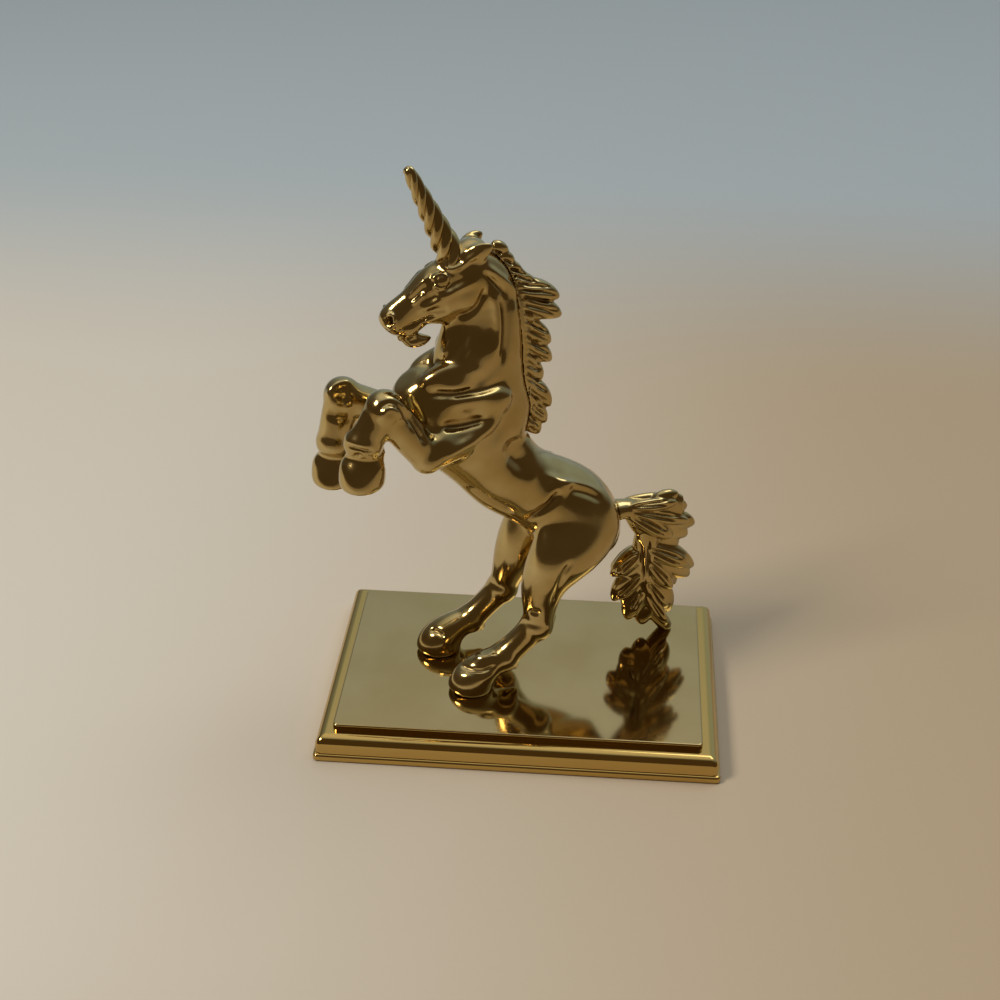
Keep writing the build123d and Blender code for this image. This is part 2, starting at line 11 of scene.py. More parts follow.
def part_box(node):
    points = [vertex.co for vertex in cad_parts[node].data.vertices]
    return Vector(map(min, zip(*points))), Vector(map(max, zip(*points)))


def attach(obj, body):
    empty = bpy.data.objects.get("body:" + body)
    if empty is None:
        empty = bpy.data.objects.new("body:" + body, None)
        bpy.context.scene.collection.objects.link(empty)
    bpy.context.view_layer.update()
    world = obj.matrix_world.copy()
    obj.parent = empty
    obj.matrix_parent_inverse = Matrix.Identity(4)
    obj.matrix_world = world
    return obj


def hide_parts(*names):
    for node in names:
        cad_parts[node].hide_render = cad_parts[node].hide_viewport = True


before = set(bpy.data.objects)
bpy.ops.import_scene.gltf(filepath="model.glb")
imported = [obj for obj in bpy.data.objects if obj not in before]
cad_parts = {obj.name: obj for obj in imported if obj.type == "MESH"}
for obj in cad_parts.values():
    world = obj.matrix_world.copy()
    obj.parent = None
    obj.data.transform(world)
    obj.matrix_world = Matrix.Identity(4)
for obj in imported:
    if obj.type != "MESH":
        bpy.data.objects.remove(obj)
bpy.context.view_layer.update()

bl_info = {
    "name": "Rearing Unicorn Figurine",
    "version": (1, 0, 0),
    "blender": (4, 5, 0),
    "location": "View3D > Sidebar > Unicorn",
    "description": "Dresses the packed unicorn figurine as a polished brass casting on a moulded plate",
    "category": "Object",
}

PLATE_LOW, PLATE_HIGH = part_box("base_plate")
MM = 0.001
MOST_TRIANGLES = 195000
MERGE_GAP = 1e-7
TINY = 1e-9

# How far a point goes to the middle of its neighbours in one pass, and how many widths a stroke reaches
EVEN_SHARE = 0.5
STROKE_REACH = 5

# The figure's own frame on the plate: x to the tail, y to its right side, z up, in millimetres
FIGURE_FOOT = np.array((-12.7, -2.2, PLATE_HIGH.z / MM))
FIGURE_HEADING = math.radians(22.0)
FIGURE_AXES = np.array(
    (
        (math.cos(FIGURE_HEADING), math.sin(FIGURE_HEADING), 0.0),
        (-math.sin(FIGURE_HEADING), math.cos(FIGURE_HEADING), 0.0),
        (0.0, 0.0, 1.0),
    )
)
FIGURE_PLACE = (
    Matrix.Scale(MM, 4) @ Matrix.Translation(Vector(FIGURE_FOOT)) @ Matrix(FIGURE_AXES).transposed().to_4x4()
)
BODY_NODES = ("trunk", "neck_and_head", "left_foreleg", "right_foreleg", "left_hind_leg", "right_hind_leg")

# Where the camera stands and looks, in millimetres and degrees
CAMERA_SPOT = np.array((13.715, -243.651, 196.635))
CAMERA_YAW = math.radians(-4.384)
CAMERA_PITCH = math.radians(32.044)
CAMERA_ROLL = math.radians(0.348)
CAMERA_FOCUS = 1560.0
IMAGE_SIZE = 1000.0
SENSOR_WIDTH = 36.0
NEAREST = 0.01


def to_figure(points):
    """Points of the model in metres, as millimetres in the figure's frame."""
    return (np.asarray(points, float) / MM - FIGURE_FOOT) @ FIGURE_AXES.T


def to_model(points):
    """Millimetres in the figure's frame, as points of the model in metres."""
    return (np.asarray(points, float) @ FIGURE_AXES + FIGURE_FOOT) * MM


def camera_axes():
    """The camera's right, up and forward directions in the model."""
    level = math.cos(CAMERA_PITCH)
    forward = np.array((math.sin(CAMERA_YAW) * level, math.cos(CAMERA_YAW) * level, -math.sin(CAMERA_PITCH)))
    flat_right = np.array((math.cos(CAMERA_YAW), -math.sin(CAMERA_YAW), 0.0))
    flat_up = np.cross(flat_right, forward)
    right = math.cos(CAMERA_ROLL) * flat_right + math.sin(CAMERA_ROLL) * flat_up
    up = math.cos(CAMERA_ROLL) * flat_up - math.sin(CAMERA_ROLL) * flat_right
    return right, up, forward


def sight_line(across, down):
    """The line of sight through a spot of the picture: its start and direction in the figure's frame."""
    right, up, forward = camera_axes()
    half = IMAGE_SIZE / 2
    way = forward + right * (across - half) / CAMERA_FOCUS - up * (down - half) / CAMERA_FOCUS
    return to_figure(CAMERA_SPOT * MM), FIGURE_AXES @ (way / np.linalg.norm(way))


def smooth_path(points, steps=6):
    """A rounded line through a few points."""
    points = np.asarray(points, float)
    if len(points) < 3:
        return points
    ends = np.vstack((2 * points[0] - points[1], points, 2 * points[-1] - points[-2]))
    line = []
    for a, b, c, d in zip(ends[:-3], ends[1:-2], ends[2:-1], ends[3:]):
        square = 2 * a - 5 * b + 4 * c - d
        cube = 3 * b - a - 3 * c + d
        for t in np.linspace(0, 1, steps, endpoint=False):
            line.append(0.5 * (2 * b + (c - a) * t + square * t**2 + cube * t**3))
    return np.vstack((line, points[-1]))


def mirrored(points):
    """The same points on the figure's other side."""
    return np.asarray(points, float) * (1, -1, 1)


def away_from(points, line):
    """Each point's distance from a line, and how far along it lies, from 0 to 1."""
    best = np.full(len(points), np.inf)
    along = np.zeros(len(points))
    steps = np.linalg.norm(np.diff(line, axis=0), axis=1)
    travelled = np.concatenate(([0], np.cumsum(steps)))
    for i, (a, b) in enumerate(zip(line[:-1], line[1:])):
        way = b - a
        share = np.clip(((points - a) @ way) / max(way @ way, TINY), 0, 1)
        gap = np.linalg.norm(points - a - share[:, None] * way, axis=1)
        closer = gap < best
        best[closer] = gap[closer]
        along[closer] = (travelled[i] + share[closer] * steps[i]) / travelled[-1]
    return best, along


class Clay:
    """A closed mesh held as arrays in the figure's frame while it is sculpted."""

    def __init__(self, mesh):
        self.mesh = mesh
        count = len(mesh.vertices)
        flat = np.empty(count * 3)
        mesh.vertices.foreach_get("co", flat)
        self.points = to_figure(flat.reshape(-1, 3))
        pairs = np.empty(len(mesh.edges) * 2, np.int64)
        mesh.edges.foreach_get("vertices", pairs)
        self.edges = pairs.reshape(-1, 2)
        self.links = np.bincount(pairs, minlength=count).astype(float)
        self.write()

    def write(self):
        """Puts the points back into the mesh and reads its normals again."""
        self.mesh.vertices.foreach_set("co", to_model(self.points).ravel())
        self.mesh.update()
        flat = np.empty(len(self.points) * 3)
        self.mesh.vertex_normals.foreach_get("vector", flat)
        self.normals = flat.reshape(-1, 3) @ FIGURE_AXES.T

    def mean_of_neighbours(self, values):
        total = np.zeros_like(values)
        a, b = self.edges.T
        for axis in range(values.shape[1]):
            total[:, axis] = np.bincount(a, values[b, axis], len(values))
            total[:, axis] += np.bincount(b, values[a, axis], len(values))
        return total / self.links[:, None]

    def relax(self, times, weight=EVEN_SHARE):
        """Evens the surface out, everywhere or by a weight for each point."""
        share = np.broadcast_to(np.asarray(weight, float), (len(self.points),))[:, None]
        for _ in range(times):
            self.points += (self.mean_of_neighbours(self.points) - self.points) * share
        self.write()

    def near(self, centre, radius):
        """A weight for each point: 1 at a centre, falling to 0 at a radius."""
        away = np.linalg.norm(self.points - np.asarray(centre, float), axis=1) / radius
        return np.clip(1 - away**2, 0, 1) ** 2

    def learn_surface(self):
        """Keeps the present surface for lines of sight to fall on."""
        faces = [tuple(face.vertices) for face in self.mesh.polygons]
        self.surface = BVHTree.FromPolygons([tuple(p) for p in self.points], faces)

    def seen(self, *spots):
        """The surface points under spots of the picture."""
        found = []
        for across, down in spots:
            start, way = sight_line(across, down)
            hit = self.surface.ray_cast(Vector(start), Vector(way))[0]
            if hit is None:
                raise RuntimeError(f"no surface is seen at {across}, {down}")
            found.append(hit)
        return np.array(found)

    def seen_line(self, *spots):
        """The surface points under a line of spots, without those that miss the piece."""
        lines = [self.surface.ray_cast(*(Vector(v) for v in sight_line(*spot)))[0] for spot in spots]
        return np.array([hit for hit in lines if hit is not None])

    def stroke(self, path, width, height, lips=0.0, taper=0.25, both=False):
        """Raises a ridge along a line, or presses a groove where the height is below 0."""
        for points in (path, mirrored(path)) if both else (path,):
            line = smooth_path(points)
            low = line.min(0) - STROKE_REACH * width
            high = line.max(0) + STROKE_REACH * width
            near = np.flatnonzero(((self.points > low) & (self.points < high)).all(1))
            gap, along = away_from(self.points[near], line)
            ends = np.clip(np.minimum(along, 1 - along) / max(taper, TINY), 0, 1)
            fade = ends * ends * (3 - 2 * ends) if taper > 0 else 1.0
            shape = np.exp(-((gap / width) ** 2))
            shape -= lips * np.exp(-(((gap - 2 * width) / width) ** 2))
            self.points[near] += self.normals[near] * (shape * fade * height)[:, None]

    def carve(self, spots, width, height, lips=0.0, taper=0.25, both=True):
        """A ridge or groove along a line of sight spots, and on the other side of the figure too."""
        self.stroke(self.seen(*spots), width, height, lips, taper, both)

    def strands(self, spots, width, height):
        """A groove between hairs along a line of sight spots, on both faces of a flat lock."""
        line = self.seen_line(*spots)
        if len(line) > 1:
            self.stroke(line, width, height, taper=0.3, both=True)

    def swell(self, spot, radius, height):
        """Raises a round swelling at a sight spot and on the other side, or presses a hollow."""
        centre = self.seen(spot)[0]
        for middle in (centre, mirrored(centre)):
            self.points += self.normals * (self.near(middle, radius) * height)[:, None]

    def tilt(self, centre, towards, radius, amount):
        """Tips the surface round a centre, so that its face looks more upward, or downward below 0."""
        below = centre[2] - self.points[:, 2]
        self.points += np.asarray(towards) * (self.near(centre, radius) * below * amount)[:, None]

    def soften(self, centre, radius, times):
        """Evens the surface out round a centre and on the other side."""
        for middle in (np.asarray(centre, float), mirrored(centre)):
            self.relax(times, self.near(middle, radius) * EVEN_SHARE)

    def mark_hollows(self, times=12, share=1.0):
        """Stores how deep each point lies below the smoothed surface round it, or a share of that."""
        even = self.points.copy()
        for _ in range(times):
            even += (self.mean_of_neighbours(even) - even) * EVEN_SHARE
        depth = ((even - self.points) * self.normals).sum(1)
        hollow = self.mesh.attributes.new("hollow", "FLOAT", "POINT")
        hollow.data.foreach_set("value", (depth * share).astype(np.float32))


def joined_copy(nodes):
    """A bmesh with the merged meshes of some CAD nodes."""
    bm = bmesh.new()
    for node in nodes:
        bm.from_mesh(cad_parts[node].data)
    bmesh.ops.remove_doubles(bm, verts=bm.verts, dist=MERGE_GAP)
    return bm


def add_muscle(bm, centre, radii, lean, sides):
    """Adds a rounded swelling to a blank, leaning in the side view, on one or both sides of the figure."""
    for side in sides:
        place = Matrix.Translation(Vector((centre[0], centre[1] * side, centre[2])))
        place @= Matrix.Rotation(math.radians(-lean), 4, "Y")
        place @= Matrix.Diagonal((*radii, 1))
        bmesh.ops.create_icosphere(bm, subdivisions=3, radius=1.0, matrix=FIGURE_PLACE @ place)


def worked(mesh, kind, **settings):
    """A mesh after a modifier's work on it."""
    blank = bpy.data.objects.new("blank", mesh)
    bpy.context.scene.collection.objects.link(blank)
    modifier = blank.modifiers.new("work", kind)
    for name, value in settings.items():
        setattr(modifier, name, value)
    done = bpy.data.meshes.new_from_object(blank.evaluated_get(bpy.context.evaluated_depsgraph_get()))
    bpy.data.objects.remove(blank)
    bpy.data.meshes.remove(mesh)
    return done


def remeshed(bm, voxel):
    """A closed skin of even quads round everything in a bmesh."""
    mesh = bpy.data.meshes.new("blank")
    bm.to_mesh(mesh)
    bm.free()
    return worked(mesh, "REMESH", mode="VOXEL", voxel_size=voxel)


def thinned(mesh, most):
    """A mesh with no more than a number of triangles, fewest where the surface is even."""
    mesh.calc_loop_triangles()
    return worked(mesh, "DECIMATE", decimate_type="COLLAPSE", ratio=min(1.0, most / len(mesh.loop_triangles)))


def refined(mesh, low, high):
    """A mesh whose faces inside a box of the figure's frame are cut in four."""
    middles = np.empty(len(mesh.polygons) * 3)
    mesh.polygons.foreach_get("center", middles)
    places = to_figure(middles.reshape(-1, 3))
    inside = ((places > low) & (places < high)).all(1)
    bm = bmesh.new()
    bm.from_mesh(mesh)
    bm.faces.ensure_lookup_table()
    edges = {edge for i in np.flatnonzero(inside) for edge in bm.faces[i].edges}
    bmesh.ops.subdivide_edges(bm, edges=list(edges), cuts=1, use_grid_fill=True)
    bm.to_mesh(mesh)
    bm.free()
    mesh.update()
    return mesh


def add_piece(name, mesh, material, nodes):
    """Links a finished mesh as a piece that stands for CAD nodes."""
    piece = bpy.data.objects.new(name, mesh)
    bpy.context.scene.collection.objects.link(piece)
    mesh.materials.clear()
    mesh.materials.append(material)
    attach(piece, "root")
    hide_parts(*nodes)
    return piece


class Value:
    """A shader socket whose maths is written as Python expressions."""

    def __init__(self, finish, socket):
        self.finish = finish
        self.socket = socket

    def maths(self, operation, *terms):
        return self.finish.add("ShaderNodeMath", {"operation": operation}, dict(enumerate(terms)))

    def __add__(self, other):
        return self.maths("ADD", self, other)

    __radd__ = __add__

    def __sub__(self, other):
        return self.maths("SUBTRACT", self, other)

    def __rsub__(self, other):
        return self.maths("SUBTRACT", other, self)

    def __mul__(self, other):
        return self.maths("MULTIPLY", self, other)

    __rmul__ = __mul__

    def within(self, low, high):
        """This value's place between two limits, smoothed, from 0 to 1."""
        settings = {"interpolation_type": "SMOOTHSTEP"}
        inputs = {"Value": self, "From Min": low, "From Max": high}
        return self.finish.add("ShaderNodeMapRange", settings, inputs)


class Finish:
    """The node tree of a material or of the world."""

    def __init__(self, owner):
        owner.use_nodes = True
        self.owner = owner
        self.tree = owner.node_tree

    def add(self, kind, settings=None, inputs=None, output=0):
        """Adds a node, with its settings first and then the values or links of its sockets."""
        node = self.tree.nodes.new(kind)
        for name, value in (settings or {}).items():
            setattr(node, name, value)
        self.feed(node, inputs or {})
        return Value(self, node.outputs[output])

    def feed(self, node, inputs):
        for name, value in inputs.items():
            socket = node.inputs[name]
            if isinstance(value, Value):
                self.tree.links.new(value.socket, socket)
            elif socket.type == "RGBA":
                socket.default_value = (*value, 1)
            else:
                socket.default_value = value

    def mix(self, share, first, second):
        """A colour between two others."""
        settings = {"data_type": "RGBA", "blend_type": "MIX"}
        return self.add("ShaderNodeMix", settings, {0: share, 6: first, 7: second}, output=2)

    def noise(self, scale, detail=3.0, stretch=None):
        """Noise over the object, in spots of about 1 / scale metres."""
        place = self.add("ShaderNodeTexCoord", output=3)
        if stretch:
            place = self.add("ShaderNodeMapping", inputs={"Vector": place, "Scale": stretch})
        inputs = {"Vector": place, "Scale": scale, "Detail": detail}
        return self.add("ShaderNodeTexNoise", inputs=inputs)

    def surface(self, **inputs):
        """Feeds the material's surface shader."""
        shader = self.tree.nodes["Principled BSDF"]
        self.feed(shader, {name.replace("_", " ").title(): value for name, value in inputs.items()})


def new_finish(name):
    return Finish(bpy.data.materials.new(name))


def casting_brass(colours):
    """Polished cast brass: brown tarnish in the creases, worn bright on the ridges, finely scratched."""
    finish = new_finish("casting_brass")
    hollow = finish.add("ShaderNodeAttribute", {"attribute_name": "hollow"}, output=2)
    cloud = finish.noise(scale=160.0, detail=4.0)
    specks = finish.noise(scale=2600.0, detail=2.0)
    scratches = finish.noise(scale=900.0, detail=2.0, stretch=(1.0, 1.0, 0.08))
    tarnish = (hollow + (cloud - 0.5) * 0.06).within(0.015, 0.16)
    worn = (0.0 - hollow + (cloud - 0.5) * 0.04).within(0.02, 0.12)
    brass = finish.mix(cloud.within(0.3, 0.75), colours.brass, colours.pale_brass)
    brass = finish.mix(worn * 0.55, brass, colours.pale_brass)
    colour = finish.mix(tarnish * 0.85, brass, colours.tarnish)
    rough = colours.polish + (cloud - 0.5) * 0.06 + tarnish * 0.25 + specks.within(0.62, 0.8) * 0.06
    height = cloud * 0.5 + scratches * 0.12 + specks * 0.05
    bump = finish.add("ShaderNodeBump", inputs={"Height": height, "Strength": 0.25, "Distance": 0.00008})
    finish.surface(base_color=colour, metallic=1.0, roughness=rough, normal=bump)
    return finish.owner


# How far below the top the plate's sides take their warmer colour, a painted reflection of the warm floor
PLATE_CAP = 0.0003


def plate_brass(colours):
    """Mirror-polished plate brass with faint hand polishing marks, its sides painted a warmer brass as a
    painted reflection of the floor.
    """
    finish = new_finish("plate_brass")
    cloud = finish.noise(scale=60.0, detail=4.0)
    marks = finish.noise(scale=420.0, detail=3.0, stretch=(0.06, 1.0, 1.0))
    smears = finish.noise(scale=35.0, detail=5.0, stretch=(1.0, 0.5, 1.0))
    place = finish.add("ShaderNodeTexCoord", output=3)
    height = finish.add("ShaderNodeSeparateXYZ", inputs={0: place}, output=2)
    top = height.within(PLATE_HIGH.z - PLATE_CAP, PLATE_HIGH.z)
    colour = finish.mix(cloud.within(0.3, 0.7), colours.plate, colours.pale_plate)
    # Painted reflection: below the top the sides take a warmer brass that stands in for the warm floor they
    # reflect
    colour = finish.mix(top, colours.plate_side_painted_reflection, colour)
    rough = colours.plate_polish + (smears - 0.5) * 0.06 + marks.within(0.55, 0.75) * 0.04
    relief = cloud + marks * 0.05
    bump = finish.add("ShaderNodeBump", inputs={"Height": relief, "Strength": 0.15, "Distance": 0.0001})
    finish.surface(base_color=colour, metallic=1.0, roughness=rough, normal=bump)
    return finish.owner


def pad_felt(colours):
    """Short-pile felt."""
    finish = new_finish("pad_felt")
    pile = finish.noise(scale=3500.0, detail=4.0)
    patches = finish.noise(scale=250.0, detail=2.0)
    colour = finish.mix(pile.within(0.3, 0.7) * 0.7 + patches * 0.3, colours.felt, colours.pale_felt)
    bump = finish.add("ShaderNodeBump", inputs={"Height": pile, "Strength": 0.8, "Distance": 0.0003})
    finish.surface(base_color=colour, roughness=0.9 + (pile - 0.5) * 0.1, normal=bump)
    return finish.owner


def turned_brass(colours):
    """Brass screws with the fine rings of a lathe tool."""
    finish = new_finish("turned_brass")
    rings = finish.noise(scale=6000.0, detail=2.0)
    colour = finish.mix(rings, colours.brass, colours.pale_brass)
    bump = finish.add("ShaderNodeBump", inputs={"Height": rings, "Strength": 0.3, "Distance": 0.00005})
    finish.surface(base_color=colour, metallic=1.0, roughness=0.25 + (rings - 0.5) * 0.1, normal=bump)
    return finish.owner


# Muscles and bones in the figure's frame: centre and half sizes in millimetres, and lean in degrees
PAIRED_MUSCLES = {
    "cheek": ((1.3, 2.0, 80.6), (4.3, 1.9, 3.8), 25),
    "jaw": ((-3.5, 1.5, 77.6), (4.0, 1.4, 1.7), 20),
    "neck_root": ((-0.5, 2.8, 65.8), (7.5, 2.8, 3.2), 12),
    "shoulder": ((2.5, 5.0, 60.5), (6.5, 2.2, 3.6), 5),
    "upper_arm": ((-1.0, 6.0, 55.2), (7.8, 2.0, 3.0), 28),
    "hip_bone": ((18.4, 5.0, 41.0), (2.2, 1.6, 1.6), 0),
}
MIDDLE_MUSCLES = {
    "forehead": ((-0.2, 0.0, 86.4), (3.1, 3.0, 2.0), 24),
    "poll": ((3.0, 0.0, 87.9), (2.6, 2.5, 1.5), 0),
    "chin": ((-7.2, 0.0, 72.2), (2.3, 1.4, 1.3), -15),
}


def add_body_muscles(bm):
    """The larger muscles and bones that lie on the plain castings."""
    for centre, radii, lean in PAIRED_MUSCLES.values():
        add_muscle(bm, centre, radii, lean, sides=(1, -1))
    for centre, radii, lean in MIDDLE_MUSCLES.values():
        add_muscle(bm, centre, radii, lean, sides=(1,))


# Lines of the carving, as spots of the picture: across and down
BROW_RIDGE = ((440, 268), (452, 269), (464, 263.5), (473, 257), (484, 249))
BROW_HOLLOW = ((446, 262.5), (455, 262.5), (463, 259))
EYE = (441.5, 280.5)
UPPER_LID = ((431, 281), (436.5, 276), (443, 274.5), (451, 279))
LOWER_LID = ((433, 284.5), (440, 288), (447, 286.5))
TEAR_KNOB = (440.5, 293.5)
FACE_RIDGE = ((482, 281), (473, 283), (463, 286.5), (450, 293), (439, 299.5), (427, 307), (416, 314.5))
FACE_HOLLOW = ((470, 277), (456, 283), (446, 291), (433, 298), (421, 306))
NOSE_RIDGE = ((430, 275), (417, 288), (405, 300))
NOSE_GROOVE = ((428, 284), (417, 295), (408, 303))
NOSE_FOLD = ((425, 293), (418, 299), (411, 305))
JAW_GROOVE = ((426, 313), (437, 311), (450, 309))
MOUTH = ((397, 331), (412, 326), (426, 319), (438, 315.5))
NOSTRIL_RIM = ((389, 313.5), (393, 316), (394, 321), (393, 327), (390, 328.5))
NOSTRIL_SLIT = ((388.4, 317), (389.3, 321), (390.5, 325))
CHEEK_EDGE = ((485, 284), (484, 294), (476, 309), (464, 316), (453, 316))
CHIN_HAIRS = (((405, 339), (414, 336), (422, 329)), ((409, 342), (418, 339), (426, 332)))
EAR_CORD = ((483, 264), (496, 274), (509, 285), (518, 298))
EAR_GROOVE = ((482, 270), (492, 279), (502, 290), (507, 300))
NECK_RIDGE = ((486, 282), (493, 298), (497.5, 312), (498.5, 330), (496, 350), (492, 366))
NECK_GROOVE = ((501, 293), (503.5, 314), (504, 340), (502, 368))
NECK_BAND = ((510, 296), (514, 315), (516, 340), (517, 365))
NECK_HOLLOW = ((483, 300), (489, 325), (486, 350))
THROAT_TENDON = ((451, 338), (446, 350), (439, 362))
THROAT_HOLLOW = ((462, 334), (457, 348), (450, 362))
THROAT_FOLD = ((475, 328), (469, 345), (462, 362))
SHOULDER_CREASE = ((424, 404), (432, 395), (455, 394), (480, 391), (498, 384), (508, 375))
ARM_CREASE = ((436, 427), (460, 425), (480, 421), (492, 417))
ARM_RIDGE = ((432, 466), (455, 452), (478, 437), (495, 424), (510, 408))
ARM_FACET = (458, 436)
FLANK_HOLLOW = ((500, 440), (513, 453), (527, 466), (538, 473))
BELLY_FOLD = ((464, 484), (480, 496), (500, 507), (518, 515))
HIP_RIM = ((540, 474), (552, 478), (564, 482), (576, 484), (590, 488), (604, 497))
HIP_GROOVE = ((566, 489), (580, 491), (594, 496), (604, 504))
STIFLE_CREASE = ((562, 489), (552, 502), (542, 511), (533, 517), (527, 522))
KNEE_FOLD = ((380, 424), (384, 413), (391, 409), (399, 414), (404, 425))
KNEE_GROOVE = ((378, 416), (383, 406), (391, 403), (401, 409), (408, 421), (414, 434))
FOREARM_TONGUE = ((400, 404), (410, 412), (421, 424), (428, 434))
FOREARM_GROOVE = ((405, 411), (413, 423), (421, 436), (426, 446))
FETLOCK_LINE = ((345, 445), (355, 449), (368, 452), (376, 450))
PASTERN_LINE = ((345, 453), (358, 457), (372, 458), (378, 456))
FAR_KNEE_RIM = ((328, 402), (330, 391), (336, 384), (345, 381), (355, 384))
FAR_KNEE_DENT = (345, 393)
FAR_SHANK_GROOVE = ((345, 390), (343, 402), (341, 414), (338, 426))
FORE_HOOVES = ((355, 477), (326, 482))
HOOF_REACH = 6.5
HOOF_TILT = 0.45
GASKIN_TENDON = ((575, 560), (566, 570), (560, 583), (554, 600), (550, 610))
HOCK_CREASE = ((528, 610), (534, 613), (541, 613))
PASTERN_CUFF = ((474, 656), (481, 658), (489, 657), (496, 652))
FAR_CORONET = ((430, 629), (438, 632), (445, 638))
CORONET = ((459, 664), (468, 668), (482, 671), (492, 668), (498, 663))


def carve_head(clay):
    """Brows, eyes, nose, cheeks, nostrils, mouth and the tuft on the chin."""
    clay.carve(BROW_RIDGE, width=0.55, height=0.5)
    clay.carve(BROW_HOLLOW, width=0.6, height=-0.45)
    clay.swell(EYE, radius=1.8, height=0.7)
    clay.carve(UPPER_LID, width=0.36, height=0.45, taper=0.15)
    clay.carve(LOWER_LID, width=0.34, height=0.4, taper=0.15)
    clay.swell(TEAR_KNOB, radius=1.1, height=0.3)
    clay.carve(FACE_HOLLOW, width=0.9, height=-0.45)
    clay.carve(FACE_RIDGE, width=0.7, height=0.45)
    clay.carve(NOSE_RIDGE, width=0.45, height=0.35)
    clay.carve(NOSE_GROOVE, width=0.5, height=-0.3)
    clay.carve(NOSE_FOLD, width=0.4, height=0.3)
    clay.carve(JAW_GROOVE, width=0.8, height=-0.25)
    clay.carve(MOUTH, width=0.3, height=-0.55)
    clay.carve(NOSTRIL_RIM, width=0.36, height=0.4, taper=0)
    clay.carve(NOSTRIL_SLIT, width=0.6, height=-1.2, taper=0.1)
    clay.carve(CHEEK_EDGE, width=0.55, height=-0.7)
    for spots in CHIN_HAIRS:
        clay.strands(spots, width=0.25, height=-0.35)


def carve_neck(clay):
    """The long folds of the neck and the crease above the shoulder."""
    clay.carve(EAR_CORD, width=0.7, height=0.5)
    clay.carve(EAR_GROOVE, width=0.5, height=-0.45)
    clay.carve(NECK_RIDGE, width=0.8, height=0.5)
    clay.carve(NECK_GROOVE, width=0.55, height=-0.6)
    clay.carve(NECK_BAND, width=1.3, height=0.4)
    clay.carve(NECK_HOLLOW, width=1.6, height=-0.4)
    clay.carve(THROAT_TENDON, width=0.6, height=0.4, taper=0.45)
    clay.carve(THROAT_HOLLOW, width=1.0, height=-0.35, taper=0.45)
    clay.carve(THROAT_FOLD, width=0.6, height=0.4, taper=0.45)
    clay.carve(SHOULDER_CREASE, width=0.7, height=-0.5)


def carve_trunk(clay):
    """Shoulder creases, the hollow of the flank and the hip's rim."""
    clay.carve(ARM_CREASE, width=0.8, height=-0.7)
    clay.carve(ARM_RIDGE, width=1.0, height=0.4)
    clay.swell(ARM_FACET, radius=4.0, height=-0.5)
    clay.carve(FLANK_HOLLOW, width=2.4, height=-1.5, taper=0.45)
    clay.carve(BELLY_FOLD, width=0.9, height=-1.1)
    clay.carve(HIP_RIM, width=0.8, height=0.5)
    clay.carve(HIP_GROOVE, width=0.9, height=-0.4)
    clay.carve(STIFLE_CREASE, width=0.7, height=-0.8)


def carve_forelegs(clay):
    """The folds round the near knee, the tongue of muscle on the forearm, and the rims above the hoof."""
    clay.carve(KNEE_FOLD, width=0.5, height=0.3, both=False)
    clay.carve(KNEE_GROOVE, width=0.4, height=-0.4, both=False)
    clay.carve(FOREARM_TONGUE, width=0.9, height=0.4, both=False)
    clay.carve(FOREARM_GROOVE, width=0.45, height=-0.5, both=False)
    clay.carve(FETLOCK_LINE, width=0.35, height=-0.4, both=False)
    clay.carve(PASTERN_LINE, width=0.35, height=-0.5, both=False)
    clay.carve(FAR_KNEE_RIM, width=0.6, height=0.35, both=False)
    clay.swell(FAR_KNEE_DENT, radius=3.6, height=-0.9)
    clay.carve(FAR_SHANK_GROOVE, width=2.0, height=-0.6, both=False)
    for spot in FORE_HOOVES:
        clay.tilt(clay.seen(spot)[0], -sight_line(*spot)[1] * (1, 1, 0), HOOF_REACH, HOOF_TILT)


def carve_hind_legs(clay):
    """Tendons, hocks and the near hoof's rim."""
    clay.carve(GASKIN_TENDON, width=0.6, height=-0.5)
    clay.carve(HOCK_CREASE, width=0.6, height=-0.45)
    clay.carve(CORONET, width=0.45, height=-0.6, lips=-0.3, both=False)
    clay.carve(PASTERN_CUFF, width=0.8, height=0.5, both=False)
    clay.carve(FAR_CORONET, width=0.45, height=-0.6, both=False)


def carve_body(clay):
    carve_head(clay)
    carve_neck(clay)
    carve_trunk(clay)
    carve_forelegs(clay)
    carve_hind_legs(clay)


# Places in the figure's frame, in millimetres: where the skin is evened out or tipped, and the box round the
# head, which is carved finest
THIGH = (20.5, 8.0, 34.0)
THIGH_REACH = 13.0
SHOULDER = (1.5, 7.0, 59.0)
SHOULDER_REACH = 11.0
SHOULDER_PLANE = np.array((-0.3, 8.0, 61.3))
SHOULDER_PLANE_REACH = 6.5
SHOULDER_TILT = -0.6
NECK_PLANE = np.array((1.0, 4.5, 72.0))
NECK_PLANE_REACH = 7.0
NECK_TILT = 0.35
HORN_ROOT = (0.5, 2.0, 86.0)
HORN_ROOT_REACH = 4.5
EAR_TIP = (6.6, -3.5, 86.0)
EAR_TIP_REACH = 2.6
HEAD_LOW = np.array((-17.0, -9.0, 73.0))
HEAD_HIGH = np.array((7.0, 9.0, 93.0))


